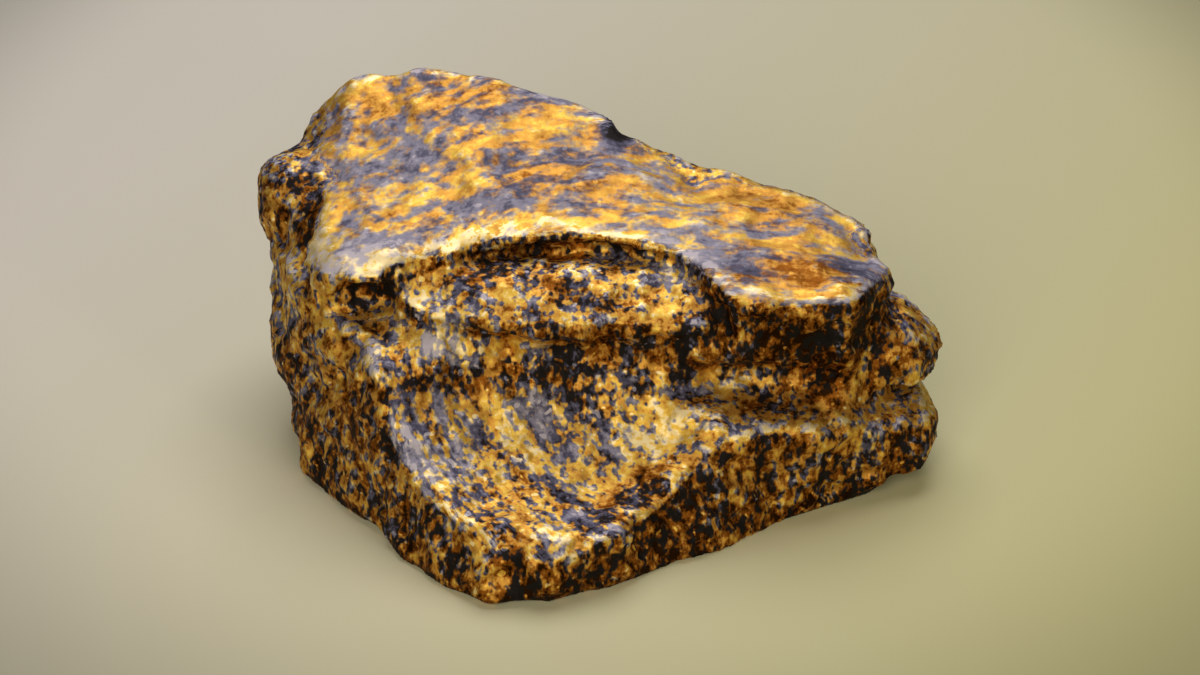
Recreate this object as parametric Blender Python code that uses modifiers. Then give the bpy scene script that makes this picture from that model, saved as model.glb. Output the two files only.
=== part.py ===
"""A lump of native gold grown through with dark iron oxide, resting on its worn underside.

The lump is one solid. Its block forms are convex hulls of a few corners, the rounded swellings are
stretched spheres, and the scoops, hollows and creases are stretched spheres cut out of them. Angular
bites are convex hulls, cut out before the ledge inside the arch is added. The whole is then remeshed
into one skin, worn round at its edges, roughened with solid noise, thinned to a face budget and cut
level where it rests. Lengths are in millimetres until the mesh is made. X runs along the lump, Y away
from its front and Z up, and the finished lump stands centred on the origin.
"""

import bmesh
import bpy
from mathutils import Matrix, Vector, noise

MM = 0.001

# Driving dimensions of the skin
SKIN_CELL = 0.42
WEAR_STEPS = 14
FACE_BUDGET = 9300
REST_CUT = 0.55

# Slab that cuts the underside level
CUTTER_SIDE = 200
CUTTER_DEPTH = 20

# Lumpiness of the skin: size of the lumps, height
ROUGHNESS = [(9.0, 0.75), (4.2, 0.5), (2.2, 0.26)]

# How the finished lump reflects light
GOLD_COLOUR = (0.58, 0.36, 0.12, 1)
GOLD_ROUGHNESS = 0.4

# Block forms, each the convex hull of its corners
BLOCKS = {
    "foot": [
        (-9.8, -23.8, 0), (-3.4, -22.8, 0), (1.7, -21.6, 0), (6.9, -18.6, 0), (12.3, -14.4, 0),
        (17.9, -12.0, 0), (24.8, -7.4, 0), (27.4, 2.0, 0), (22.0, 12.0, 0), (8.0, 18.0, 0),
        (-10.0, 21.0, 0), (-22.0, 18.0, 0), (-27.0, 8.0, 0), (-27.2, -5.0, 0), (-21.8, -11.6, 0),
        (-14.2, -21.4, 0),
        (-9.6, -25.2, 1.4), (-9.4, -23.6, 4.6), (-3.2, -23.6, 4.8), (2.2, -21.4, 6.8), (5.2, -17.6, 8.4),
        (12.8, -13.6, 8.2), (19.6, -11.2, 8.6), (26.2, -6.4, 8.0), (28.5, 3.0, 9.0),
        (23.0, 13.0, 10.0), (8.0, 20.0, 12.0), (-12.0, 21.6, 13.0), (-24.0, 17.5, 13.0),
        (-28.6, 5.0, 9.0), (-27.8, -4.6, 4.0), (-14.4, -17.8, 9.0), (-17.8, -13.0, 13.0),
        (-20.2, -8.8, 16.6), (8.0, -7.4, 13.0), (18.0, -8.0, 12.0),
    ],
    "body": [
        (-30.0, 4.0, 6.5), (-28.6, -3.0, 7.0), (-20.6, -8.8, 9.0), (-8.0, -9.0, 11.0),
        (9.0, -8.0, 11.0), (22.0, -8.0, 8.0), (27.0, -2.0, 8.0), (27.0, 6.0, 8.0), (8.0, 18.0, 8.0),
        (-10.0, 20.6, 8.0), (-26.0, 16.6, 8.0), (-30.2, 7.0, 18.0), (-28.0, 0.0, 19.0),
        (-25.0, -4.8, 18.0), (-20.0, -8.2, 16.8), (-14.0, -7.2, 17.0), (9.4, -7.2, 17.4),
        (22.0, -6.8, 17.4), (25.4, -1.6, 17.4), (25.0, 6.0, 18.0), (12.0, 12.0, 20.0),
        (-10.0, 20.0, 22.0), (-27.0, 17.0, 20.0),
    ],
    "slab": [
        (-25.6, -3.4, 21.2), (-22.6, -6.4, 21.9), (-19.8, -6.9, 22.0), (-14.7, -6.8, 22.2),
        (-6.0, -8.4, 22.0), (4.0, -9.2, 21.8), (11.1, -9.8, 21.6), (21.4, -8.8, 21.2), (25.6, -3.0, 21.0),
        (23.6, 2.0, 22.0), (20.0, 4.6, 22.7), (16.4, 6.8, 23.4), (10.8, 8.8, 24.5),
        (2.0, 12.4, 26.0), (-12.0, 15.0, 28.2), (-22.0, 13.0, 27.0), (-24.6, 4.0, 24.4),
        (-25.4, -3.0, 17.0), (-18.0, -5.6, 17.4), (11.0, -8.8, 15.0), (21.4, -7.8, 14.0),
        (26.0, -2.4, 14.0), (24.0, 4.0, 14.0), (0.0, 15.0, 16.0), (-20.0, 17.0, 16.0),
        (-12.0, 18.2, 23.6), (2.0, 15.2, 22.0), (11.4, 11.6, 20.8), (20.8, 7.4, 19.2),
    ],
    "head": [
        (-27.6, 16.0, 25.2), (-25.6, 15.9, 27.6), (-22.0, 17.0, 29.8), (-14.6, 16.8, 30.6),
        (-9.1, 15.8, 30.4), (-5.4, 14.4, 29.4), (0.9, 14.4, 27.0), (2.0, 6.0, 24.8), (-5.0, -2.0, 23.4),
        (-18.0, -2.0, 23.1), (-24.0, 4.0, 24.4), (-25.4, 9.0, 25.6), (-28.0, 19.0, 20.0),
        (-10.0, 20.0, 20.0), (2.0, 15.0, 20.0), (-21.4, 20.0, 25.6), (-9.0, 19.4, 25.8),
    ],
    "upper right lump": [
        (20.0, -6.0, 10.0), (27.0, -6.0, 10.2), (29.8, -4.0, 10.8), (30.6, -2.4, 12.4),
        (29.0, 1.5, 10.4), (26.0, 4.4, 10.2), (29.4, -0.4, 14.4), (27.0, 1.6, 16.0),
        (23.6, 3.6, 15.8), (24.2, -5.0, 16.4), (28.2, -4.2, 14.2),
    ],
    "lower right lump": [
        (21.0, -10.0, 1.5), (27.8, -8.2, 2.0), (29.4, -5.4, 2.6), (31.0, -5.4, 6.4),
        (29.6, -6.6, 8.0), (27.6, 2.0, 2.4), (30.4, -1.6, 6.6), (28.0, 2.0, 8.0),
        (22.0, -9.2, 8.4), (28.8, -3.4, 8.9),
    ],
    "back ledge": [
        (-24.0, 12.0, 0), (-18.6, 23.6, 0), (-5.0, 22.8, 0), (4.0, 16.0, 0), (-25.0, 14.0, 8.5),
        (-19.6, 23.0, 7.4), (-6.0, 22.4, 9.0), (3.0, 16.0, 10.0), (-13.0, 17.0, 13.5),
    ],
    "back right": [
        (5.0, 13.0, 0), (11.0, 20.0, 0), (21.0, 15.4, 0), (25.6, 7.0, 0), (5.0, 14.0, 13.5),
        (12.0, 18.6, 10.0), (20.6, 14.0, 11.6), (24.6, 7.0, 12.6), (13.0, 11.0, 18.5),
    ],
}

# Bites broken out of the front, each the convex hull of its corners
BITES = {
    "arch start": [
        (-18.6, -5.2, 20.2), (-15.2, -4.4, 20.2), (-9.0, -2.2, 20.2), (-5.0, -10.5, 17.4),
        (-17.6, -10.5, 19.0), (-18.6, -5.2, 26.0), (-15.2, -4.4, 26.0), (-9.0, -2.2, 26.0),
        (-5.0, -10.5, 26.0), (-17.6, -10.5, 26.0),
    ],
    "arch end": [
        (2.0, -3.0, 19.6), (8.6, -5.0, 19.6), (10.0, -7.0, 18.6), (10.3, -12.0, 17.4), (0.0, -12.0, 17.4),
        (2.0, -3.0, 26.0), (8.6, -5.0, 26.0), (10.0, -7.0, 26.0), (10.3, -12.0, 26.0), (0.0, -12.0, 26.0),
    ],
    "front right": [
        (1.9, -22.2, 0.4), (6.8, -18.9, 0.4), (12.3, -14.8, 0.4), (18.4, -12.2, 0.4), (22.0, -25.0, 0.4),
        (4.0, -29.0, 0.4), (4.0, -19.9, 16.0), (3.3, -15.4, 16.0), (13.0, -12.3, 16.0), (21.5, -9.8, 16.0),
        (22.0, -25.0, 16.0), (4.0, -29.0, 16.0),
    ],
}

# The ledge that is left standing inside the arch
SHELF = [
    (-18.2, -4.6, 21.2), (-14.5, -4.0, 21.3), (-9.0, -1.8, 21.2), (0.0, -1.0, 21.2), (5.0, -2.4, 21.2),
    (9.6, -4.8, 21.2), (-17.8, -7.0, 19.4), (-14.5, -8.2, 19.2), (-9.0, -8.9, 18.4), (0.0, -9.3, 18.0),
    (9.9, -9.4, 18.6), (-16.0, -6.0, 17.0), (-9.0, -6.6, 16.0), (9.6, -6.8, 16.0), (-14.0, -2.0, 15.0),
    (9.0, -2.0, 15.0),
]

# Swellings that stand proud of the blocks: centre, radii
SWELLINGS = [
    ((-26.6, 10.2, 20.0), (4.6, 5.8, 5.4)),
    ((-23.6, 8.0, 18.0), (5.6, 7.6, 6.6)),
]

# Hollows broken or worn out of the lump: centre, radii
HOLLOWS = {
    "front bowl": ((-2.0, -20.0, 19.0), (26.0, 13.0, 13.0)),
    "arch": ((-3.2, -8.4, 21.3), (13.2, 8.4, 3.4)),
    "lip hollow": ((-19.9, -7.6, 19.6), (4.3, 4.4, 2.3)),
    "block recess": ((15.0, -10.8, 13.0), (10.5, 4.6, 2.4)),
    "back chip": ((1.8, 14.2, 27.0), (2.3, 3.2, 3.0)),
    "back scoop": ((-2.0, 27.5, 17.0), (10.0, 9.0, 11.0)),
    "back right scoop": ((19.0, 17.0, 21.0), (12.0, 9.0, 7.0)),
    "left scoop": ((-34.0, -6.0, 14.0), (6.0, 9.0, 7.5)),
    "underside": ((2.0, 1.0, -3.4), (15.0, 10.0, 5.0)),
}

# Creases worn between the forms: start, end, half the width
CREASES = {
    "block crease": ((21.7, -8.3, 20.6), (22.9, -9.0, 10.5), 0.8),
    "shelf end": ((10.4, -7.6, 21.0), (11.0, -8.8, 16.6), 0.8),
    "shelf undercut": ((-15.0, -9.2, 17.2), (10.4, -10.4, 16.4), 1.7),
    "flank crease": ((-20.0, -10.6, 4.4), (-14.2, -18.0, 3.0), 0.8),
    "corner crease": ((-9.4, -24.3, 3.2), (-3.6, -24.2, 3.2), 0.7),
    "knob valley": ((-23.6, 2.0, 25.6), (-24.6, 9.5, 27.0), 1.5),
    "right notch": ((23.0, -7.6, 9.0), (31.0, -4.6, 8.9), 0.9),
    "left step": ((-30.2, 2.0, 8.6), (-26.2, -8.4, 5.0), 0.8),
    "back crease": ((-8.0, 21.0, 22.0), (-1.0, 20.6, 6.0), 1.3),
    "back ledge crease": ((-26.0, 17.4, 9.6), (-9.0, 21.8, 10.4), 0.9),
}


def object_from(name, bm):
    mesh = bpy.data.meshes.new(name)
    bm.to_mesh(mesh)
    bm.free()
    obj = bpy.data.objects.new(name, mesh)
    bpy.context.scene.collection.objects.link(obj)
    return obj


def hull(name, corners):
    bm = bmesh.new()
    for corner in corners:
        bm.verts.new(Vector(corner) * MM)
    made = bmesh.ops.convex_hull(bm, input=bm.verts)
    bmesh.ops.delete(bm, geom=list({*made["geom_interior"], *made["geom_unused"]}), context="VERTS")
    return object_from(name, bm)


def stretched_sphere(name, centre, radii, turn=None):
    bm = bmesh.new()
    size = Matrix.Diagonal((*(Vector(radii) * MM), 1))
    place = Matrix.Translation(Vector(centre) * MM) @ (turn or Matrix()) @ size
    bmesh.ops.create_icosphere(bm, subdivisions=4, radius=1, matrix=place)
    return object_from(name, bm)


def crease(name, start, end, half_width):
    """A long thin sphere from start to end, to cut a groove with."""
    start, end = Vector(start), Vector(end)
    run = end - start
    turn = run.to_track_quat("Z", "Y").to_matrix().to_4x4()
    return stretched_sphere(name, (start + end) / 2, (half_width, half_width, run.length / 2), turn)


def boolean(target, tool, operation):
    modifier = target.modifiers.new(tool.name, "BOOLEAN")
    modifier.operation = operation
    modifier.object = tool
    tool.hide_render = True
    tool.display_type = "WIRE"


def lump_of_forms():
    """The blocks and swellings joined, the hollows and creases cut, all under one worn skin."""
    blocks = [hull(name, corners) for name, corners in BLOCKS.items()]
    lump = blocks[0]
    for block in blocks[1:]:
        boolean(lump, block, "UNION")
    for i, (centre, radii) in enumerate(SWELLINGS):
        boolean(lump, stretched_sphere(f"swelling_{i}", centre, radii), "UNION")
    for name, (centre, radii) in HOLLOWS.items():
        boolean(lump, stretched_sphere(name, centre, radii), "DIFFERENCE")
    for name, corners in BITES.items():
        boolean(lump, hull(name, corners), "DIFFERENCE")
    boolean(lump, hull("shelf", SHELF), "UNION")
    for name, (start, end, half_width) in CREASES.items():
        boolean(lump, crease(name, start, end, half_width), "DIFFERENCE")
    skin = lump.modifiers.new("skin", "REMESH")
    skin.mode = "VOXEL"
    skin.voxel_size = SKIN_CELL * MM
    wear = lump.modifiers.new("wear", "SMOOTH")
    wear.iterations = WEAR_STEPS
    return lump


def evaluated_mesh(obj):
    return bpy.data.meshes.new_from_object(obj.evaluated_get(bpy.context.evaluated_depsgraph_get()))


def roughen(mesh):
    """Push each point of the skin in or out by solid noise, coarse lumps first."""
    normals = [vertex.normal.copy() for vertex in mesh.vertices]
    for vertex, normal in zip(mesh.vertices, normals):
        place = vertex.co / MM
        height = sum(tall * noise.noise(place / wide) for wide, tall in ROUGHNESS)
        vertex.co += normal * height * MM


def rest_cutter():
    """A slab whose top face is the surface that the lump rests on."""
    bm = bmesh.new()
    size = Matrix.Diagonal((CUTTER_SIDE * MM, CUTTER_SIDE * MM, CUTTER_DEPTH * MM, 1))
    bmesh.ops.create_cube(bm, size=1, matrix=size)
    cutter = object_from("rest_cut", bm)
    cutter.location.z = -CUTTER_DEPTH * MM / 2
    return cutter


def native_gold():
    material = bpy.data.materials.new("native gold with iron oxide")
    material.use_nodes = True
    shader = material.node_tree.nodes["Principled BSDF"]
    shader.inputs["Base Color"].default_value = GOLD_COLOUR
    shader.inputs["Metallic"].default_value = 1
    shader.inputs["Roughness"].default_value = GOLD_ROUGHNESS
    return material


def collection_with(name, *objects):
    collection = bpy.data.collections.new(name)
    bpy.context.scene.collection.children.link(collection)
    for obj in objects:
        for holder in list(obj.users_collection):
            holder.objects.unlink(obj)
        collection.objects.link(obj)


def remove_objects():
    for obj in list(bpy.data.objects):
        bpy.data.objects.remove(obj)


def main():
    remove_objects()
    mesh = evaluated_mesh(lump_of_forms())
    remove_objects()

    roughen(mesh)
    mesh.transform(Matrix.Translation((0, 0, -REST_CUT * MM)))
    mesh.name = "gold_nugget"
    lump = bpy.data.objects.new("gold_nugget", mesh)
    bpy.context.scene.collection.objects.link(lump)
    thin = lump.modifiers.new("thin", "DECIMATE")
    thin.ratio = FACE_BUDGET / sum(len(face.vertices) - 2 for face in mesh.polygons)
    cutter = rest_cutter()
    boolean(lump, cutter, "DIFFERENCE")

    corners = [vertex.co for vertex in evaluated_mesh(lump).vertices]
    middle = [(min(c[axis] for c in corners) + max(c[axis] for c in corners)) / 2 for axis in (0, 1)]
    mesh.transform(Matrix.Translation((-middle[0], -middle[1], 0)))
    mesh.materials.append(native_gold())
    collection_with("native_gold", lump)
    collection_with("cutters", cutter)


main()
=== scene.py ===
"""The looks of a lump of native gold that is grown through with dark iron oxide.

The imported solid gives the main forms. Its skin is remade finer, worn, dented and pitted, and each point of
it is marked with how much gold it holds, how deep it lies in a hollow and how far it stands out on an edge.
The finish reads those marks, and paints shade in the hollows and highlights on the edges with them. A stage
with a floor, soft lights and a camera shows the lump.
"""

import math

import bmesh
import bpy
import numpy as np
from bpy.props import FloatProperty, FloatVectorProperty, IntProperty, PointerProperty
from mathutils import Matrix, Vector, noise
from mathutils.bvhtree import BVHTree


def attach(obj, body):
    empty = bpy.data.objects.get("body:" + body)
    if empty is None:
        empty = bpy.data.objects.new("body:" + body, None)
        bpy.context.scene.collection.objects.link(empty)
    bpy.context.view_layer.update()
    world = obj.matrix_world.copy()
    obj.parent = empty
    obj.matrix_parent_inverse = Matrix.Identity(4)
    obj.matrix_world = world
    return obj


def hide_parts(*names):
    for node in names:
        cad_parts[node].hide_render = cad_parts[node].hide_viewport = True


bl_info = {
    "name": "Native Gold Lump",
    "version": (1, 0, 0),
    "blender": (4, 5, 0),
    "location": "3D View > Sidebar > Native Gold",
    "description": "Builds a lump of native gold with iron oxide and the stage that it rests on",
    "category": "Add Mesh",
}

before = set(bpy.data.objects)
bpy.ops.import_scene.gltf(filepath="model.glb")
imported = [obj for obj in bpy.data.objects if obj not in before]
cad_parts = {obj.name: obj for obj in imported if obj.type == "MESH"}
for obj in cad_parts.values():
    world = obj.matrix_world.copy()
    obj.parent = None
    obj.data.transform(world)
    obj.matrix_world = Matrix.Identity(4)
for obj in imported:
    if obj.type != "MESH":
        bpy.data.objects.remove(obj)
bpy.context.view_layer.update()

NODE = "gold_nugget"
MM = 0.001

# Dents and lumps of the skin: width, height, both in millimetres
DENTS = [(5.0, 0.12), (2.4, 0.15), (1.2, 0.13), (0.7, 0.07)]

# Round pits: mean spacing, radius, depth, all in millimetres, and the share of the places that have one
PITS = [(2.6, 0.55, 0.42, 0.675), (1.3, 0.30, 0.20, 0.65)]

# Broken plates of the sides: mean width and the most that one is raised or sunk, in millimetres
PLATES = [(2.2, 0.30), (1.1, 0.16)]

# Factors that keep the centres of near cells apart, and steps between one layer of cells and the next, so
# that each pit and each plate has a value of its own
PIT_FACTOR, PIT_STEP = 7.3, 3.7
PLATE_FACTOR, PLATE_STEP = 5.1, 2.3

# Small knobs that stand out of the main forms: centre, radius, height, in millimetres
KNOBS = [((1.2, 13.2, 26.0), 1.5, 1.5)]

# The level underside keeps its shape below the first height and is rough above the second, in millimetres
REST_KEPT = (0.15, 1.2)

# Painted shade in hollows: rays from each point, their reach and the start above the skin, in millimetres
RECESS_RAYS = 14
RECESS_REACH = 9.0
RECESS_LIFT = 0.12

# Rounds of averaging with the neighbours: of the painted shade in hollows, of the way that the skin faces,
# of the plates' broken edges, and of the skin itself, for the smooth one that an edge stands out from
RECESS_ROUNDS = 6
FACING_ROUNDS = 12
PLATE_ROUNDS = 1
SKIN_ROUNDS = 14

# The worn top as a plane: its height at the middle, in millimetres, and its slopes, up to the back and down
# to the right
TOP_HEIGHT = 23.5
TOP_SLOPE = 0.28
TOP_FALL = 0.055

# Wear. The skin is streaked where it faces up, more and more from the first number to the second, with 1 for
# straight up. It is worn like the top where it faces up by the next pair, and less and less where it lies
# below the top's plane by the last pair, in millimetres
STREAKED_UP = (0.42, 0.58)
TOP_UP = (0.45, 0.80)
TOP_BELOW = (1.0, 1.6)

# The share of the dents and of the plates that wear has taken, on the top and on the other streaked parts
DENTS_WORN = (0.65, 0.30)
PLATES_WORN = (0.75, 0.55)

# The worn pattern is this many times as long as wide, and on the top it is coarser by that much
DRAWN_OUT = 2.8
TOP_COARSER = 1.2

# To the left the top's pattern turns by the angle and is drawn out less by the number, more and more between
# the two places across, in millimetres
HEAD_TURN, HEAD_TURN_FROM = math.radians(22), (4, -16)
HEAD_LESS, HEAD_LESS_FROM = 1.3, (2, -14)

# The ledge under the arch lies more than this below the top's plane, in millimetres
LEDGE_BELOW = 1.2

# In front the pattern goes in arcs round the bowl's centre, which is given across and up as the main view
# sees it. The arcs' length is measured at the radius, and the pattern ends at the height, all in millimetres
VIEW_ANGLE = math.radians(33)
BOWL_CENTRE = (9.0, 10.0)
BOWL_RADIUS = 16.0
BOWL_TOP = 17.0

# How the worn pattern wanders: size of the bends and their depth, in millimetres, and the places in the
# noise that its three directions are read from
WANDER_SIZE = 3.2
WANDER_DEPTH = 0.45
WANDER_SHIFTS = (31.7, 67.2, 95.9)

# Where gold or oxide gathers: centre, radii, in millimetres, and lean to gold (+) or oxide (-)
PATCHES = [
    # The worn top and its head
    ((-16.0, 13.5, 29.0), (6.0, 2.6, 3.0), 0.40),
    ((-12.5, 11.0, 27.5), (4.4, 2.4, 3.0), -0.50),
    ((-18.5, 7.0, 26.0), (5.0, 2.2, 3.0), -0.55),
    ((-9.0, 1.5, 24.5), (5.0, 1.6, 3.0), -0.25),
    ((-5.6, 14.6, 27.4), (4.5, 2.6, 3.0), -0.45),
    ((-5.0, 6.0, 25.0), (7.0, 3.6, 2.0), 0.16),
    ((1.9, 13.0, 26.2), (1.5, 2.2, 2.2), -1.50),
    # The front right of the top
    ((11.5, -5.0, 21.8), (4.8, 2.2, 2.0), -0.70),
    ((18.4, -5.8, 21.0), (3.0, 2.2, 2.2), 0.32),
    ((22.8, -3.4, 21.0), (2.8, 2.4, 2.6), -0.55),
    # The lip above the arch, and the ledge
    ((-18.0, -2.0, 23.0), (4.0, 1.2, 1.4), -0.45),
    ((-21.0, -3.0, 22.4), (3.6, 1.6, 1.6), -0.35),
    ((5.5, -6.0, 19.4), (3.6, 2.4, 2.0), 0.40),
    # The bowl
    ((-9.0, -7.4, 14.6), (2.8, 1.6, 1.8), 0.35),
    ((-4.6, -7.6, 13.8), (4.0, 1.8, 1.8), -0.45),
    ((8.4, -8.6, 12.2), (2.6, 1.6, 1.4), -0.50),
    ((-1.4, -10.6, 10.2), (1.8, 3.0, 2.4), -0.40),
    ((6.2, -11.6, 9.4), (5.0, 3.4, 3.0), 0.42),
    ((-6.6, -13.4, 7.6), (3.2, 2.6, 2.4), 0.20),
    # The left side and the right end
    ((-22.6, -5.4, 13.0), (2.4, 3.0, 3.4), 0.35),
    ((17.0, -7.0, 10.6), (7.0, 3.0, 2.4), 0.30),
    ((27.0, -4.0, 7.0), (4.0, 4.0, 4.0), 0.30),
]

# Where the skin is paler (+) or darker (-), as painted light and painted shade as well as its own tone:
# centre, radii, in millimetres, and strength
PAINTED_LIGHT_AND_TONE = [
    # The worn top and its head
    ((-16.0, 14.0, 29.0), (7.0, 4.0, 3.0), -0.16),
    ((-27.6, 7.0, 23.0), (2.6, 2.6, 2.0), -0.14),
    ((-28.8, 12.0, 25.4), (3.0, 3.0, 3.0), -0.22),
    ((-25.4, 4.6, 22.6), (1.2, 2.6, 2.4), -0.35),
    ((-6.0, 15.0, 27.6), (3.4, 2.4, 2.4), -0.12),
    ((-4.0, 6.0, 24.6), (7.0, 4.0, 2.0), -0.18),
    ((1.9, 13.0, 26.2), (1.5, 2.2, 2.2), -0.90),
    ((14.0, 3.6, 23.2), (4.6, 4.0, 2.0), -0.20),
    ((15.0, -5.0, 21.8), (6.0, 3.0, 2.0), -0.16),
    ((18.0, -5.0, 21.4), (3.0, 2.4, 2.0), -0.12),
    # The lip above the arch
    ((-25.2, -0.6, 22.0), (1.8, 2.4, 1.8), 0.34),
    ((-21.0, -5.0, 22.0), (4.5, 2.6, 1.4), 0.20),
    ((-12.0, -3.0, 21.6), (2.0, 2.0, 1.4), 0.14),
    ((-10.0, -1.8, 22.0), (3.0, 2.0, 1.4), -0.10),
    # The ledge and what is round it
    ((-9.6, -3.6, 20.6), (4.0, 2.0, 1.4), -0.34),
    ((-7.0, -1.4, 21.3), (4.0, 1.8, 1.1), 0.24),
    ((0.0, -0.4, 21.2), (4.5, 1.8, 1.1), 0.30),
    ((6.6, -2.8, 20.6), (3.0, 2.0, 1.4), 0.46),
    ((-3.0, -4.6, 19.6), (3.0, 2.0, 1.6), -0.30),
    ((6.0, -6.6, 19.4), (3.6, 2.4, 1.4), 0.04),
    ((-14.2, -6.8, 18.4), (2.2, 2.0, 1.8), 0.42),
    ((-17.6, -5.4, 17.4), (1.8, 2.0, 1.2), 0.20),
    ((-14.6, -7.2, 16.4), (2.6, 2.0, 1.6), 0.26),
    ((-17.0, -7.6, 16.2), (3.4, 2.0, 1.6), 0.10),
    ((-5.5, -6.9, 15.6), (3.0, 2.0, 1.5), 0.32),
    ((-11.0, -7.0, 14.8), (4.4, 2.0, 2.2), 0.42),
    # The bowl and its rim
    ((-9.0, -8.0, 12.6), (2.6, 2.0, 2.0), -0.22),
    ((11.5, -6.8, 12.0), (4.5, 2.5, 1.6), 0.45),
    ((-12.5, -10.5, 10.0), (3.0, 3.0, 2.6), 0.06),
    ((-6.2, -10.4, 9.4), (2.0, 2.0, 2.0), 0.20),
    ((5.4, -11.4, 9.2), (4.4, 3.4, 2.4), 0.20),
    ((6.5, -11.6, 8.8), (2.6, 2.4, 2.0), 0.16),
    ((-11.4, -14.0, 8.6), (3.2, 2.6, 2.2), 0.30),
    ((2.0, -11.6, 8.0), (2.0, 2.0, 1.8), 0.18),
    ((-7.0, -14.0, 7.8), (5.0, 4.0, 2.4), 0.10),
    ((-2.2, -12.6, 7.6), (1.8, 2.0, 2.0), -0.06),
    ((5.2, -14.2, 7.2), (1.6, 2.0, 1.8), -0.28),
    ((8.4, -14.8, 6.0), (3.0, 2.4, 2.4), -0.24),
    ((-2.5, -18.5, 6.0), (3.0, 2.6, 2.0), 0.14),
    ((1.8, -17.6, 5.8), (1.8, 2.4, 2.0), -0.36),
    ((-3.6, -22.0, 5.0), (1.8, 2.0, 1.8), 0.22),
    ((-7.4, -21.8, 4.8), (2.2, 2.0, 2.0), -0.34),
    # The foot in front and the left side
    ((-4.0, -23.0, 1.6), (4.0, 2.0, 1.6), -0.16),
    ((6.0, -17.6, 3.0), (9.0, 4.0, 2.6), -0.20),
    ((-19.0, -13.0, 4.5), (3.0, 3.0, 3.0), 0.14),
    ((-22.6, -4.6, 13.0), (3.6, 4.0, 6.0), 0.12),
    ((-28.8, 2.0, 16.5), (2.6, 4.0, 5.0), 0.42),
    # The right end
    ((22.6, -5.0, 19.6), (2.4, 2.4, 2.4), -0.38),
    ((17.0, -8.0, 16.4), (7.0, 1.8, 3.0), -0.42),
    ((26.5, -3.0, 15.0), (4.0, 4.0, 4.0), -0.16),
    ((20.5, -7.0, 11.0), (2.0, 2.5, 2.0), -0.20),
    ((27.0, -3.6, 8.6), (3.0, 2.8, 2.0), 0.50),
    ((27.4, -7.0, 5.4), (2.2, 3.0, 2.6), -0.22),
]

# Rubbed rims, which lean to gold and carry a painted highlight: half width in millimetres, paleness, and the
# points that the rim runs through
RUBBED_LIT_RIMS = [
    # The lip above the arch: its left end, its middle and right, and the front right edge of the top
    (1.4, 0.34, [(-24.4, -1.4, 21.8), (-21.2, -4.4, 22.0), (-15.2, -3.0, 22.7), (-8.3, -0.8, 23.5)]),
    (
        0.8,
        0.26,
        [(-8.3, -0.8, 23.5), (-3.1, 0.0, 23.8), (2.1, -1.0, 23.4), (7.3, -2.6, 22.5), (10.0, -5.6, 21.9)],
    ),
    (0.7, 0.26, [(10.0, -5.6, 21.9), (14.0, -7.4, 21.5), (19.0, -7.4, 21.2), (22.8, -6.2, 20.8)]),
    # The bowl's left rim
    (0.8, 0.10, [(-19.6, -7.2, 15.8), (-16.8, -12.6, 10.8), (-13.2, -17.8, 7.2), (-8.4, -22.0, 5.2)]),
]

# What leans the skin to gold (+) or to oxide (-), and how wide the border between the two is. A pair is for
# the broken skin and for the worn top. The bowl stands for every streaked part but the top
LEAN_EVERYWHERE = 0.026
LEAN_BOWL = -0.03
LEAN_PATCHES = 0.28
LEAN_RIMS = 0.15
LEAN_CLUSTER = 0.70
LEAN_PATCH = 0.65
LEAN_SPECK = (0.66, 0.26)
BORDER = (0.065, 0.105)

# What makes the tone paler (+) or darker (-), from the darkest colour at 0 to the palest at 1. A pair is for
# the broken skin and for the worn top, and a row of three has the other streaked parts between them
TONE_EVERYWHERE = 0.37
# Painted light from above: the tone is paler where the skin faces up, and a little more on the top
TONE_LIT_FROM_ABOVE = 0.19
TONE_TOP_LIT = 0.05
# Painted shade: the tone is darker in hollows
TONE_HOLLOW_SHADE = -0.40
TONE_CLUSTER = (1.1, 0.45)
TONE_PATCH = (1.6, 1.2, 0.75)
TONE_FLECK = (0.90, 0.50)
# Paleness of the painted glints
TONE_GLINT = (0.45, 0.15)

# Edges are rubbed and get a painted highlight where they stand out of the smooth skin, more and more between
# these heights, in millimetres. The next pair is how much paler that makes them, on the broken skin and on
# the streaked parts. It does so in grains, more and more between the last pair of noise values
RUBBED_HEIGHT = (0.01, 0.17)
RUBBED_HIGHLIGHT_TONE = (0.20, 0.50)
RUBBED_GRAIN = (-0.08, 0.06)

# The oxide's own tone is darker, with more painted shade in a hollow, and paler where it faces up and more
# so on the top, a painted sheen of the light from above
OXIDE_DARKER = 0.11
OXIDE_HOLLOW_SHADE = 0.30
OXIDE_SHEEN_FACING_UP = 0.04
OXIDE_SHEEN_TOP = 0.18

# Painted glints: bright specks where their noise is high, more and more between these values
GLINT_NOISE = (0.74, 0.80)

# The scale of the broken sides' pattern across, back and up. A smaller one stretches it
SIDE_STRETCH = (1, 1, 0.6)

# Metallic and roughness. The oxide's shine is half metallic on the broken skin and less so on the worn top
OXIDE_METALLIC = (0.65, 0.5)
GOLD_METALLIC = 1.0
OXIDE_ROUGHNESS = 0.72
GOLD_ROUGHNESS = 0.60

# Fine relief: how far gold stands proud, beside grains that stand up by 1, and the strength of the whole.
# The real grains are too fine to show, so they are drawn as coarse as the settings say
GOLD_PROUD = 0.10
RELIEF_STRENGTH = 0.32

# The point that the camera and the lights look at, and half the floor's width, in metres
LOOK_AT = (0.0004, 0.0006, 0.01145)
FLOOR_HALF = 2.0
FLOOR_ROUGHNESS = 0.9

# The camera's sensor in millimetres, and the nearest place that it shows, in metres
SENSOR = 36
NEAREST = 0.01

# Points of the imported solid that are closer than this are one, in metres
WELD = 0.000001

# The floor's tint turns from left to right between these places, which slant to the back, in metres
TINT_SLANT = -0.5
TINT_TURN = (-0.08, 0.06)

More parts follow.
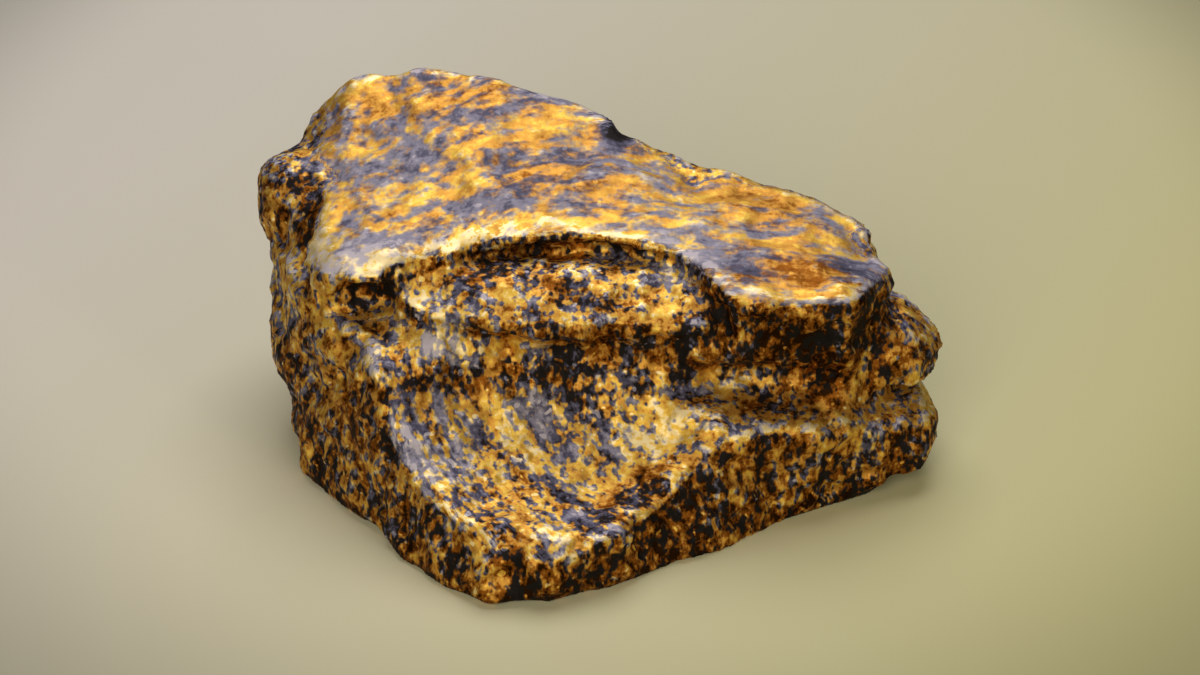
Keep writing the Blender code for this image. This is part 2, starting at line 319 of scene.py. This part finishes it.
# A wide soft painted pool of light on the floor: centre and half widths in metres, where it fades as shares
# of those, and how much of the tint is left outside it
POOL_CENTRE = (0, 0.05)
POOL_HALF = (1 / 15, 1 / 12.5)
POOL_FADE = (0.9, 1.45)
POOL_OUTSIDE = 0.47

# Soft round lights: name, place and diameter in metres, power in watts, tint
LIGHTS = [
    ("overhead", (0.0, 0.12, 0.32), 0.26, 0.84, "F6F3FC"),
    ("front", (-0.10, -0.36, 0.24), 0.30, 1.0, "FFF6E8"),
    ("front_right", (0.22, -0.26, 0.10), 0.04, 0.14, "FFF6EA"),
]

# The dim room that lights the lump from all round: tint and strength
ROOM_TINT = "D8CFB4"
ROOM_STRENGTH = 0.10


def linear(hex_colour):
    """The linear red, green and blue of an sRGB hex colour."""
    parts = [int(hex_colour[i : i + 2], 16) / 255 for i in (0, 2, 4)]
    return tuple(c / 12.92 if c <= 0.04045 else ((c + 0.055) / 1.055) ** 2.4 for c in parts)


def colour(name, description, hex_colour):
    """A colour that the user can change."""
    return FloatVectorProperty(
        name=name, description=description, subtype="COLOR", size=3, min=0, max=1, default=linear(hex_colour)
    )


def length(name, description, metres):
    """A length that the user can change."""
    return FloatProperty(
        name=name,
        description=description,
        subtype="DISTANCE",
        unit="LENGTH",
        min=0,
        default=metres,
        precision=5,
    )


class LumpSettings(bpy.types.PropertyGroup):
    """Sizes of the fine skin."""

    skin_cell: length("Skin cell", "Spacing of the fine skin's points", 0.00032)
    wear_steps: IntProperty(
        name="Wear", description="Rounds of smoothing that wear the skin", min=0, default=6
    )
    relief: FloatProperty(
        name="Relief",
        description="Multiplies the height of dents and pits",
        subtype="FACTOR",
        min=0,
        max=2,
        default=1,
    )


class FinishSettings(bpy.types.PropertyGroup):
    """Colours and scales of the two minerals."""

    # The gold colours are steps of one tone: the darker carry painted shade as well as film, the paler
    # painted light and highlights as well as rubbing
    gold_1: colour("Gold, darkest", "Gold under a thick brown film", "2E1906")
    gold_2: colour("Gold, brown", "Gold under a brown film", "8E5418")
    gold_3: colour("Gold, orange", "Gold under a thin film", "D29C44")
    gold_4: colour("Gold, yellow", "Bare gold", "EAC454")
    gold_5: colour("Gold, cream", "Gold rubbed bright", "F8E4AC")
    # The oxide colours are steps of one tone: the darker carry painted shade as well as oxide in hollows,
    # the paler the painted sheen of the light from above as well as wear
    oxide_1: colour("Oxide, darkest", "Iron oxide in hollows", "100A06")
    oxide_2: colour("Oxide, black", "Iron oxide, little worn", "1C1412")
    oxide_3: colour("Oxide, indigo", "Worn iron oxide", "565468")
    oxide_4: colour("Oxide, lavender", "Iron oxide worn smooth", "8E8A98")
    oxide_5: colour("Oxide, pale", "Iron oxide rubbed bright", "BEB6BA")
    cluster: length("Cluster", "Mean width of a stretch that is richer in gold or oxide", 0.0028)
    patch: length("Patch", "Mean width of a patch of gold or oxide", 0.00085)
    speck: length("Speck", "Mean width of a speck of lighter or darker tone", 0.00055)
    # Width of the painted glints
    glint: length("Fragment", "Mean width of a bright fragment", 0.00075)
    grit: length("Grit", "Mean width of a grain of the fine relief", 0.00040)
    grit_height: length("Grit height", "Height of a grain of the fine relief", 0.00012)


class StageSettings(bpy.types.PropertyGroup):
    """The view and the floor."""

    lens: length("Lens", "Focal length of the camera", 0.080)
    distance: length("Distance", "From the camera to the point that it looks at", 0.240)
    height: FloatProperty(
        name="View height",
        description="Angle of the view above the floor",
        subtype="ANGLE",
        default=VIEW_ANGLE,
    )
    floor_left: colour("Floor, left", "Plain pale floor to the left", "CFCABA")
    floor_right: colour("Floor, right", "Plain pale floor to the right", "C3BF86")


def node(tree, kind, inputs=None, **settings):
    """Adds a node with its settings. An input is linked if it is given a socket, and else set."""
    made = tree.nodes.new(kind)
    for name, value in settings.items():
        setattr(made, name, value)
    for name, value in (inputs or {}).items():
        if isinstance(value, bpy.types.NodeSocket):
            tree.links.new(value, made.inputs[name])
        else:
            made.inputs[name].default_value = value
    return made


def solid_noise(points, width, shift=0.0):
    """Noise in space at each point, about -1 to 1, in lumps of that width. It has one octave."""
    places = (points / width + shift).tolist()
    return np.array([noise.fractal(place, 1.0, 2.0, 1) for place in places])


def solid_vectors(points, width):
    """A smooth wandering shift at each point, in lumps of that width. It is the same in every run."""
    return np.column_stack([solid_noise(points, width, shift=shift) for shift in WANDER_SHIFTS])


def smooth_step(low, high, values):
    """0 at the low value to 1 at the high one, with soft ends."""
    share = np.clip((values - low) / (high - low), 0, 1)
    return share * share * (3 - 2 * share)


def spread(values, edges, steps):
    """Averages each point's value with its neighbours' values, that many times."""
    count = 1 + np.bincount(edges.ravel(), minlength=len(values))
    for _ in range(steps):
        total = values.copy()
        for near, far in ((0, 1), (1, 0)):
            total += np.bincount(edges[:, near], weights=values[edges[:, far]], minlength=len(values))
        values = total / count
    return values


def points_of(mesh):
    """Every point of the mesh and its normal, the points in millimetres."""
    points = np.empty(len(mesh.vertices) * 3, np.float32)
    mesh.vertices.foreach_get("co", points)
    normals = np.empty_like(points)
    mesh.vertex_normals.foreach_get("vector", normals)
    return points.reshape(-1, 3).astype(float) / MM, normals.reshape(-1, 3).astype(float)


def edges_of(mesh):
    """The two ends of every edge of the mesh."""
    edges = np.empty(len(mesh.edges) * 2, np.int32)
    mesh.edges.foreach_get("vertices", edges)
    return edges.reshape(-1, 2)


def fine_skin(settings):
    """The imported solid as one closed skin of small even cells, worn smooth, and the solid for rays."""
    bm = bmesh.new()
    bm.from_mesh(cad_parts[NODE].data)
    bmesh.ops.remove_doubles(bm, verts=bm.verts, dist=WELD)
    mesh = bpy.data.meshes.new("solid_copy")
    bm.to_mesh(mesh)
    bm.free()
    solid = bpy.data.objects.new("solid_copy", mesh)
    bpy.context.scene.collection.objects.link(solid)
    cells = solid.modifiers.new("cells", "REMESH")
    cells.mode = "VOXEL"
    cells.voxel_size = settings.skin_cell
    wear = solid.modifiers.new("wear", "SMOOTH")
    wear.iterations = settings.wear_steps
    skin = bpy.data.meshes.new_from_object(solid.evaluated_get(bpy.context.evaluated_depsgraph_get()))
    skin.name = "gold_lump"
    faces = [tuple(face.vertices) for face in mesh.polygons]
    tree = BVHTree.FromPolygons([point.co / MM for point in mesh.vertices], faces)
    bpy.data.objects.remove(solid)
    return skin, tree


def ray_directions(count):
    """Directions spread evenly over the upper half of a ball."""
    turn = math.pi * (3 - math.sqrt(5))
    for i in range(count):
        rise = (i + 0.5) / count
        run = math.sqrt(1 - rise * rise)
        yield Vector((run * math.cos(turn * i), run * math.sin(turn * i), rise))


def hollow_shade_of(points, normals, solid):
    """How closed in each point is by the solid and by the floor, 0 in the open to 1 deep in a hollow."""
    # The finish paints shade in hollows with this
    directions = list(ray_directions(RECESS_RAYS))
    full = sum(d.z for d in directions)
    found = np.zeros(len(points))
    for i, (point, normal) in enumerate(zip(points.tolist(), normals.tolist())):
        normal = Vector(normal)
        start = Vector(point) + normal * RECESS_LIFT
        turn = normal.to_track_quat("Z", "Y").to_matrix()
        closed = 0.0
        for direction in directions:
            aim = turn @ direction
            reached = solid.ray_cast(start, aim, RECESS_REACH)[3]
            if reached is None and aim.z < 0 and start.z < -aim.z * RECESS_REACH:
                reached = -start.z / aim.z
            if reached is not None:
                closed += direction.z * (1 - reached / RECESS_REACH) ** 0.5
        found[i] = closed / full
    return found


def pits_at(points, spacing, radius, depth, share, seed):
    """Depth of round pits at each point. That share of the cells of a cell pattern have one."""
    depths = np.zeros(len(points))
    for i, place in enumerate((points / spacing).tolist()):
        distances, centres = noise.voronoi(place)
        # The cell noise runs from -1 to 1
        chance = noise.cell(centres[0] * PIT_FACTOR + Vector((seed, 0, 0)))
        if distances[0] * spacing < radius and chance < 2 * share - 1:
            depths[i] = depth * (1 - (distances[0] * spacing / radius) ** 2)
    return depths


def plates_at(points, spacing, tall, seed):
    """Height of broken plates at each point: each cell of a cell pattern is raised or sunk as one piece."""
    heights = np.empty(len(points))
    for i, place in enumerate((points / spacing).tolist()):
        centre = noise.voronoi(place)[1][0]
        heights[i] = noise.cell(centre * PLATE_FACTOR + Vector((seed, 0, 0)))
    return tall * (heights / np.abs(heights).max())


def below_top(points):
    """How far each point lies under the plane of the worn top, in millimetres."""
    x, y, z = points.T
    return TOP_HEIGHT + TOP_SLOPE * y - TOP_FALL * np.maximum(x, 0) - z


def worn_places(points):
    """Places for a pattern that is drawn out by wear.

    It runs straight along the top and in arcs round the bowl in front. The ledge between them is sheltered,
    so its pattern isn't drawn out.
    """
    x, y, z = (points + WANDER_DEPTH * solid_vectors(points, WANDER_SIZE)).T
    turn = HEAD_TURN * smooth_step(*HEAD_TURN_FROM, x)
    along = x * np.cos(turn) + y * np.sin(turn)
    across = -x * np.sin(turn) + y * np.cos(turn)
    drawn_out = DRAWN_OUT - HEAD_LESS * smooth_step(*HEAD_LESS_FROM, x)
    top = np.column_stack([along / drawn_out, across, z]) / TOP_COARSER
    sine, cosine = math.sin(VIEW_ANGLE), math.cos(VIEW_ANGLE)
    rise, depth = y * sine + z * cosine, y * cosine - z * sine
    radius = np.hypot(x - BOWL_CENTRE[0], rise - BOWL_CENTRE[1])
    angle = np.arctan2(x - BOWL_CENTRE[0], BOWL_CENTRE[1] - rise)
    bowl = np.column_stack([angle * BOWL_RADIUS / DRAWN_OUT, radius, depth])
    upper = np.where((below_top(points) > LEDGE_BELOW)[:, None], points, top)
    return np.where((z > BOWL_TOP)[:, None], upper, bowl)


def spots(points, places):
    """Sums the listed spots, each strongest at its centre."""
    total = np.zeros(len(points))
    for centre, radii, strength in places:
        near = np.square((points - np.array(centre)) / np.array(radii)).sum(axis=1)
        total += strength * np.exp(-near)
    return total


def rims(points, lines):
    """Sums the rubbed rims, each strongest on its line."""
    total = np.zeros(len(points))
    for width, strength, line in lines:
        nearest = np.full(len(points), np.inf)
        for start, end in zip(np.array(line), np.array(line[1:])):
            run = end - start
            share = np.clip((points - start) @ run / (run @ run), 0, 1)
            nearest = np.minimum(nearest, np.square(points - start - share[:, None] * run).sum(axis=1))
        total += strength * np.exp(-nearest / width**2)
    return total


def mark(mesh, name, values):
    """Gives each point of the mesh a value or a place, which the finish reads by name."""
    kind, key = ("FLOAT", "value") if values.ndim == 1 else ("FLOAT_VECTOR", "vector")
    mesh.attributes.new(name, kind, "POINT").data.foreach_set(key, values.astype(np.float32).ravel())


def roughen(mesh, solid, settings):
    """Dents and pits the skin, leaving the underside level, and marks what the finish reads."""
    points, normals = points_of(mesh)
    edges = edges_of(mesh)
    # How closed in each point is, for the painted shade in hollows
    hollow_shade = spread(hollow_shade_of(points, normals, solid), edges, RECESS_ROUNDS)
    up = spread(normals[:, 2], edges, FACING_ROUNDS)
    rough = smooth_step(*REST_KEPT, points[:, 2])
    streaked = smooth_step(*STREAKED_UP, up)
    top = smooth_step(*TOP_UP, up) * (1 - smooth_step(*TOP_BELOW, below_top(points)))
    top = np.minimum(top, streaked)

    height = sum(tall * solid_noise(points, wide) for wide, tall in DENTS)
    for i, (spacing, radius, depth, share) in enumerate(PITS):
        height -= pits_at(points, spacing, radius, depth, share, i * PIT_STEP)
    height *= 1 - DENTS_WORN[0] * top - DENTS_WORN[1] * (streaked - top)
    plates = sum(plates_at(points, wide, tall, i * PLATE_STEP) for i, (wide, tall) in enumerate(PLATES))
    plates_left = 1 - PLATES_WORN[0] * top - PLATES_WORN[1] * (streaked - top)
    height += spread(plates, edges, PLATE_ROUNDS) * plates_left
    for centre, radius, tall in KNOBS:
        height += tall * np.exp(-np.square((points - np.array(centre)) / radius).sum(axis=1))
    moved = points + normals * (height * rough * settings.relief)[:, None]
    moved[:, 2] = np.maximum(moved[:, 2], 0)
    mesh.vertices.foreach_set("co", (moved * MM).astype(np.float32).ravel())
    mesh.update()

    relaxed = np.column_stack([spread(moved[:, axis], edges, SKIN_ROUNDS) for axis in range(3)])
    stands_out = ((moved - relaxed) * normals).sum(axis=1)
    mark(mesh, "gold", spots(points, PATCHES))
    # Spots of painted light and painted shade as well as tone
    mark(mesh, "pale", spots(points, PAINTED_LIGHT_AND_TONE))
    # Rims that lean to gold and carry a painted highlight
    mark(mesh, "rim", rims(points, RUBBED_LIT_RIMS))
    mark(mesh, "worn_place", worn_places(points) * MM)
    # Painted shade in hollows
    mark(mesh, "hollow_shade", hollow_shade)
    # How far edges stand out, for rubbing and a painted highlight
    mark(mesh, "edge", stands_out)
    mark(mesh, "streaked", streaked)
    mark(mesh, "top", top)


def native_gold(settings):
    """Native gold with iron oxide, broken and then worn by water.

    Gold is bare yellow metal where it is rubbed and keeps a brown film elsewhere. The oxide is a dark violet
    grey stone with a dull shine. The two meet in ragged borders with specks of one in the other. Their tone
    also carries painted shade in hollows, painted light where the skin faces up, a painted sheen on the
    oxide, and painted highlights and glints on edges, rims and specks.
    """
    material = bpy.data.materials.new("native gold and iron oxide")
    material.use_nodes = True
    tree = material.node_tree
    shader = tree.nodes["Principled BSDF"]
    place = node(tree, "ShaderNodeTexCoord").outputs["Object"]

    def read(name, output="Fac"):
        """A mark of the skin."""
        return node(tree, "ShaderNodeAttribute", attribute_name=name).outputs[output]

    def math_of(operation, *values):
        return node(tree, "ShaderNodeMath", dict(enumerate(values)), operation=operation).outputs[0]

    def add(total, value, weight):
        """Adds the value times the weight."""
        return math_of("MULTIPLY_ADD", value, weight, total)

    def ramp(value, low, high):
        """0 at the low value to 1 at the high one, with soft ends."""
        inputs = {"Value": value, "From Min": low, "From Max": high}
        return node(tree, "ShaderNodeMapRange", inputs, interpolation_type="SMOOTHSTEP").outputs[0]

    def noise_at(places, width, detail, rough):
        inputs = {"Vector": places, "Scale": 1 / width, "Detail": detail, "Roughness": rough}
        return node(tree, "ShaderNodeTexNoise", inputs).outputs["Fac"]

    def mix(share, a, b):
        """The first colour at 0 to the second at 1."""
        return node(tree, "ShaderNodeMix", {0: share, 6: a, 7: b}, data_type="RGBA").outputs[2]

    def between(share, a, b):
        """The first value at 0 to the second at 1."""
        return node(tree, "ShaderNodeMix", {0: share, 2: a, 3: b}).outputs[0]

    def stops(value, tints):
        """The value as a colour, through the tints at even steps from 0 to 1."""
        made = node(tree, "ShaderNodeValToRGB", {"Fac": value})
        made.color_ramp.interpolation = "EASE"
        elements = made.color_ramp.elements
        for _ in tints[2:]:
            elements.new(0.5)
        for i, (element, tint) in enumerate(zip(elements, tints)):
            element.position = i / (len(tints) - 1)
            element.color = (*tint, 1)
        return made.outputs["Color"]

    streaked, top, hollow_shade, edge, rim = (read(name) for name in ("streaked", "top", "hollow_shade", "edge", "rim"))
    side_place = node(tree, "ShaderNodeMapping", {"Vector": place, "Scale": SIDE_STRETCH}).outputs["Vector"]
    worn_place = read("worn_place", "Vector")

    def noise_about_zero(source, width, detail, rough, shift):
        """Noise about zero. The shift, in metres, keeps the noises from showing the same pattern."""
        moved = {0: source, 1: (shift, shift, shift)}
        shifted = node(tree, "ShaderNodeVectorMath", moved, operation="ADD").outputs[0]
        return math_of("SUBTRACT", noise_at(shifted, width, detail, rough), 0.5)

    def grain(width, detail, rough, shift):
        """Noise about zero, drawn out where wear has streaked the lump and stretched upward on its sides."""
        sides, worn = (noise_about_zero(at, width, detail, rough, shift) for at in (side_place, worn_place))
        return between(streaked, sides, worn)

    # Gold or oxide: a wide soft border on the worn top, a sharp ragged one elsewhere
    lean = add(LEAN_EVERYWHERE, math_of("SUBTRACT", streaked, top), LEAN_BOWL)
    lean = add(lean, read("gold"), LEAN_PATCHES)
    lean = add(lean, rim, LEAN_RIMS)
    lean = add(lean, grain(settings.cluster, detail=2, rough=0.6, shift=0.0), LEAN_CLUSTER)
    lean = add(lean, grain(settings.patch, detail=2, rough=0.5, shift=0.11), LEAN_PATCH)
    specks = noise_about_zero(side_place, settings.speck, detail=1, rough=0.5, shift=0.17)
    lean = add(lean, specks, between(top, *LEAN_SPECK))
    gold_share = ramp(math_of("DIVIDE", lean, between(top, *BORDER)), -1.0, 1.0)

    # Tone: painted shade in hollows, painted light where the skin faces up, painted highlights on edges and
    # rims, painted glints, and speckled
    # Painted light from above where the skin faces up, with the listed spots of painted light, painted shade
    # and tone
    tone = math_of("ADD", add(TONE_EVERYWHERE, streaked, TONE_LIT_FROM_ABOVE), read("pale"))
    # More painted light on the top
    tone = add(tone, top, TONE_TOP_LIT)
    # Painted shade in hollows
    tone = add(tone, hollow_shade, TONE_HOLLOW_SHADE)
    # Painted highlight, with rubbing, on edges that stand out and on the listed rims
    rubbed = add(rim, ramp(edge, *RUBBED_HEIGHT), between(streaked, *RUBBED_HIGHLIGHT_TONE))
    rubbed_grain = grain(settings.patch, detail=3, rough=0.7, shift=0.61)
    tone = add(tone, rubbed, ramp(rubbed_grain, *RUBBED_GRAIN))
    tone = add(tone, grain(settings.cluster, detail=3, rough=0.5, shift=0.31), between(top, *TONE_CLUSTER))
    mottle = between(streaked, TONE_PATCH[0], between(top, *TONE_PATCH[1:]))
    tone = add(tone, grain(settings.patch, detail=2, rough=0.6, shift=0.47), mottle)
    flecks = noise_about_zero(place, settings.speck, detail=2, rough=0.6, shift=0.23)
    tone = add(tone, flecks, between(top, *TONE_FLECK))
    # Painted glints: sparse bright specks
    painted_glints = ramp(noise_at(place, settings.glint, detail=0, rough=0.5), *GLINT_NOISE)
    tone = add(tone, painted_glints, between(top, *TONE_GLINT))
    # Painted sheen on the oxide where it faces up and on the top, and painted shade in its hollows
    oxide_tone = add(tone, streaked, add(OXIDE_SHEEN_FACING_UP, top, OXIDE_SHEEN_TOP))
    oxide_tone = math_of("SUBTRACT", oxide_tone, add(OXIDE_DARKER, hollow_shade, OXIDE_HOLLOW_SHADE))
    golds = [getattr(settings, f"gold_{i}") for i in range(1, 6)]
    oxides = [getattr(settings, f"oxide_{i}") for i in range(1, 6)]
    surface = mix(gold_share, stops(oxide_tone, oxides), stops(tone, golds))
    metallic = between(gold_share, between(top, *OXIDE_METALLIC), GOLD_METALLIC)
    tree.links.new(surface, shader.inputs["Base Color"])
    tree.links.new(metallic, shader.inputs["Metallic"])
    tree.links.new(between(gold_share, OXIDE_ROUGHNESS, GOLD_ROUGHNESS), shader.inputs["Roughness"])

    # Fine relief: gold stands a little proud of the oxide, and both are grainy
    grit = noise_at(place, settings.grit, detail=4, rough=0.65)
    proud = math_of("ADD", math_of("MULTIPLY", gold_share, GOLD_PROUD), grit)
    relief = {"Strength": RELIEF_STRENGTH, "Distance": settings.grit_height, "Height": proud}
    tree.links.new(node(tree, "ShaderNodeBump", relief).outputs["Normal"], shader.inputs["Normal"])
    return material


class LUMP_OT_add_gold(bpy.types.Operator):
    """Add the lump of native gold over its solid"""

    bl_idname = "lump.add_gold"
    bl_label = "Add gold lump"

    def execute(self, context):
        mesh, solid = fine_skin(context.scene.lump_settings)
        roughen(mesh, solid, context.scene.lump_settings)
        mesh.shade_smooth()
        mesh.materials.append(native_gold(context.scene.finish_settings))
        lump = bpy.data.objects.new("gold_lump", mesh)
        context.scene.collection.objects.link(lump)
        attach(lump, "root")
        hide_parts(NODE)
        return {"FINISHED"}


def aim(obj, place, target):
    """Puts the object at the place and turns it to look at the target."""
    obj.location = place
    obj.rotation_euler = (Vector(target) - Vector(place)).to_track_quat("-Z", "Y").to_euler()


def soft_light(name, place, size, power, tint):
    """A round soft light that looks at the lump."""
    light = bpy.data.lights.new(name, "AREA")
    light.shape = "DISK"
    light.size = size
    light.energy = power
    light.color = linear(tint)
    lamp = bpy.data.objects.new(name, light)
    bpy.context.scene.collection.objects.link(lamp)
    aim(lamp, place, LOOK_AT)


def matt_floor(settings):
    """Matt painted board: plain, pale and dull, a little greyer to the left and more olive to the right.

    It darkens softly outside a wide pool round the lump, a painted pool of light.
    """
    material = bpy.data.materials.new("matt painted board")
    material.use_nodes = True
    tree = material.node_tree
    shader = tree.nodes["Principled BSDF"]
    place = node(tree, "ShaderNodeTexCoord").outputs["Object"]
    split = node(tree, "ShaderNodeSeparateXYZ", {"Vector": place}).outputs
    slanted = {0: split["Y"], 1: TINT_SLANT, 2: split["X"]}
    across = node(tree, "ShaderNodeMath", slanted, operation="MULTIPLY_ADD").outputs[0]
    left, right = TINT_TURN
    turn = {"Value": across, "From Min": left, "From Max": right}
    share = node(tree, "ShaderNodeMapRange", turn).outputs[0]
    tints = [(*tint, 1) for tint in (settings.floor_left, settings.floor_right)]
    mixed = node(tree, "ShaderNodeMix", {0: share, 6: tints[0], 7: tints[1]}, data_type="RGBA").outputs[2]

    # Painted pool of light: the floor is darker away from the lump
    scales = [1 / half for half in POOL_HALF]
    shift = [-centre * scale for centre, scale in zip(POOL_CENTRE, scales)]
    mapping = {"Vector": place, "Location": (*shift, 0), "Scale": (*scales, 0)}
    centred = node(tree, "ShaderNodeMapping", mapping).outputs[0]
    away = node(tree, "ShaderNodeVectorMath", {0: centred}, operation="LENGTH").outputs["Value"]
    start, end = POOL_FADE
    fade = {"Value": away, "From Min": start, "From Max": end, "To Min": 1, "To Max": POOL_OUTSIDE}
    pool = node(tree, "ShaderNodeMapRange", fade, interpolation_type="SMOOTHSTEP").outputs[0]
    tint = node(tree, "ShaderNodeMix", {0: pool, 6: (0, 0, 0, 1), 7: mixed}, data_type="RGBA")
    tree.links.new(tint.outputs[2], shader.inputs["Base Color"])
    shader.inputs["Roughness"].default_value = FLOOR_ROUGHNESS
    return material


class LUMP_OT_add_stage(bpy.types.Operator):
    """Add the floor, the lights and the camera"""

    bl_idname = "lump.add_stage"
    bl_label = "Add stage"

    def execute(self, context):
        scene = context.scene
        settings = scene.stage_settings
        bm = bmesh.new()
        bmesh.ops.create_grid(bm, x_segments=1, y_segments=1, size=FLOOR_HALF)
        mesh = bpy.data.meshes.new("floor")
        bm.to_mesh(mesh)
        bm.free()
        floor = bpy.data.objects.new("floor", mesh)
        scene.collection.objects.link(floor)
        mesh.materials.append(matt_floor(settings))

        for light in LIGHTS:
            soft_light(*light)
        world = bpy.data.worlds.new("dim room")
        world.use_nodes = True
        background = world.node_tree.nodes["Background"]
        background.inputs["Color"].default_value = (*linear(ROOM_TINT), 1)
        background.inputs["Strength"].default_value = ROOM_STRENGTH
        scene.world = world
        scene.view_settings.view_transform = "Standard"

        lens = bpy.data.cameras.new("camera")
        lens.lens = settings.lens / MM
        lens.sensor_width = SENSOR
        lens.clip_start = NEAREST
        camera = bpy.data.objects.new("camera", lens)
        scene.collection.objects.link(camera)
        back = Vector((0, -math.cos(settings.height), math.sin(settings.height)))
        aim(camera, Vector(LOOK_AT) + back * settings.distance, LOOK_AT)
        scene.camera = camera
        return {"FINISHED"}


class LUMP_PT_sidebar(bpy.types.Panel):
    """Lists the lump's operators and their settings"""

    bl_label = "Native Gold"
    bl_idname = "LUMP_PT_sidebar"
    bl_space_type = "VIEW_3D"
    bl_region_type = "UI"
    bl_category = "Native Gold"

    def draw(self, context):
        column = self.layout.column()
        for settings in (context.scene.lump_settings, context.scene.finish_settings):
            for name in type(settings).__annotations__:
                column.prop(settings, name)
        column.operator(LUMP_OT_add_gold.bl_idname)
        for name in StageSettings.__annotations__:
            column.prop(context.scene.stage_settings, name)
        column.operator(LUMP_OT_add_stage.bl_idname)


CLASSES = (LumpSettings, FinishSettings, StageSettings, LUMP_OT_add_gold, LUMP_OT_add_stage, LUMP_PT_sidebar)


def register():
    for cls in CLASSES:
        bpy.utils.register_class(cls)
    bpy.types.Scene.lump_settings = PointerProperty(type=LumpSettings)
    bpy.types.Scene.finish_settings = PointerProperty(type=FinishSettings)
    bpy.types.Scene.stage_settings = PointerProperty(type=StageSettings)


def unregister():
    del bpy.types.Scene.stage_settings
    del bpy.types.Scene.finish_settings
    del bpy.types.Scene.lump_settings
    for cls in reversed(CLASSES):
        bpy.utils.unregister_class(cls)


def main():
    """Builds the lump and the stage."""
    register()
    bpy.ops.lump.add_gold()
    bpy.ops.lump.add_stage()


if __name__ == "__main__":
    main()
